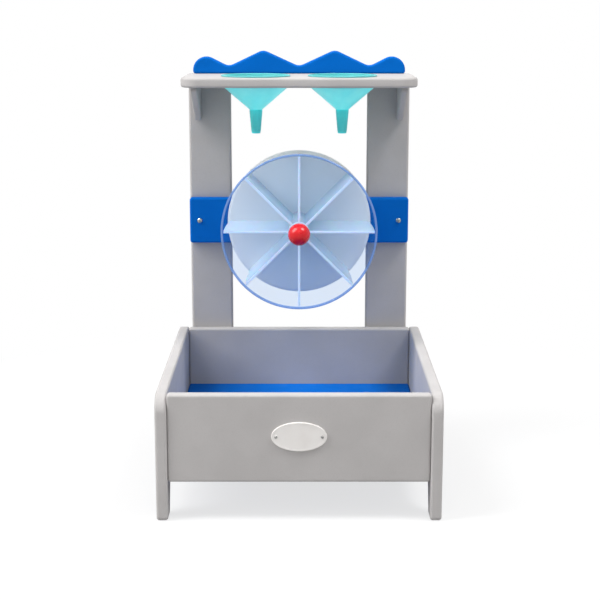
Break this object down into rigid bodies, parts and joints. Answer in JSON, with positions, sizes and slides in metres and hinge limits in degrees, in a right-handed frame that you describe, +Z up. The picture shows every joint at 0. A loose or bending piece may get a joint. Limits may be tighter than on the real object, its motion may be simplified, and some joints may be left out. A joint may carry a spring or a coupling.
{
  "type": "sand wheel toy",
  "caption": "Outdoor sand and water play stand: a box tray on feet, a rear frame with a shelf, lift-out funnels in the shelf and a clear vaned wheel turning on an axle through the crossbar.",
  "frame": {"origin": "on the ground, in the middle of the tray's width and depth", "axes": "+X to the right seen from the front, +Y to the back (the wheel's axle lies along Y, the front faces -Y), +Z up"},
  "size_m": [0.44, 0.486, 0.6997],
  "materials": {
    "grey_board": "smooth coloured plastic board with rounded edges",
    "blue_board": "smooth coloured plastic board with rounded edges",
    "turquoise_plastic": "translucent moulded plastic",
    "clear_blue_plastic": "clear moulded plastic",
    "warm_white_plastic": "opaque moulded plastic, satin",
    "red_plastic": "opaque moulded plastic, glossy",
    "nylon": "natural, matte",
    "steel": "stainless",
    "plate_plastic": "plain satin plate, bare"
  },
  "bodies": {
    "frame": {"side_panel_left": "grey_board", "side_panel_right": "grey_board", "front_panel": "grey_board", "back_panel": "grey_board", "tray_floor": "blue_board", "upright_left": "grey_board", "upright_right": "grey_board", "crossbar": "blue_board", "shelf": "grey_board", "bracket_left": "grey_board", "bracket_right": "grey_board", "crest": "blue_board", "axle": "steel", "ball_knob": "red_plastic", "spacer_tube": "nylon", "thrust_washer_front": "steel", "thrust_washer_rear": "steel", "rear_washer": "steel", "lock_nut": "steel", "oval_plate": "plate_plastic", "plate_screws": "steel", "crossbar_screws": "steel", "side_screws_left": "steel", "side_screws_right": "steel", "upright_screws": "steel", "bracket_screws": "steel", "shelf_screws": "steel", "crest_screws": "steel"},
    "wheel": {"wheel_back_disc": "warm_white_plastic", "wheel_vanes": "clear_blue_plastic", "wheel_front_disc": "clear_blue_plastic", "bush_front": "nylon", "bush_rear": "nylon"},
    "funnel_left": {"funnel_left": "turquoise_plastic"},
    "funnel_right": {"funnel_right": "turquoise_plastic"}
  },
  "joints": [
    {"name": "wheel_spin", "type": "hinge", "parent": "frame", "child": "wheel", "pos_m": [0, 0.1295, 0.4], "axis": [0, 1, 0], "continuous": true},
    {"name": "funnel_left_lift", "type": "slide", "parent": "frame", "child": "funnel_left", "axis": [0, 0, 1], "range_m": [0, 0.11]},
    {"name": "funnel_right_lift", "type": "slide", "parent": "frame", "child": "funnel_right", "axis": [0, 0, 1], "range_m": [0, 0.11]}
  ]
}
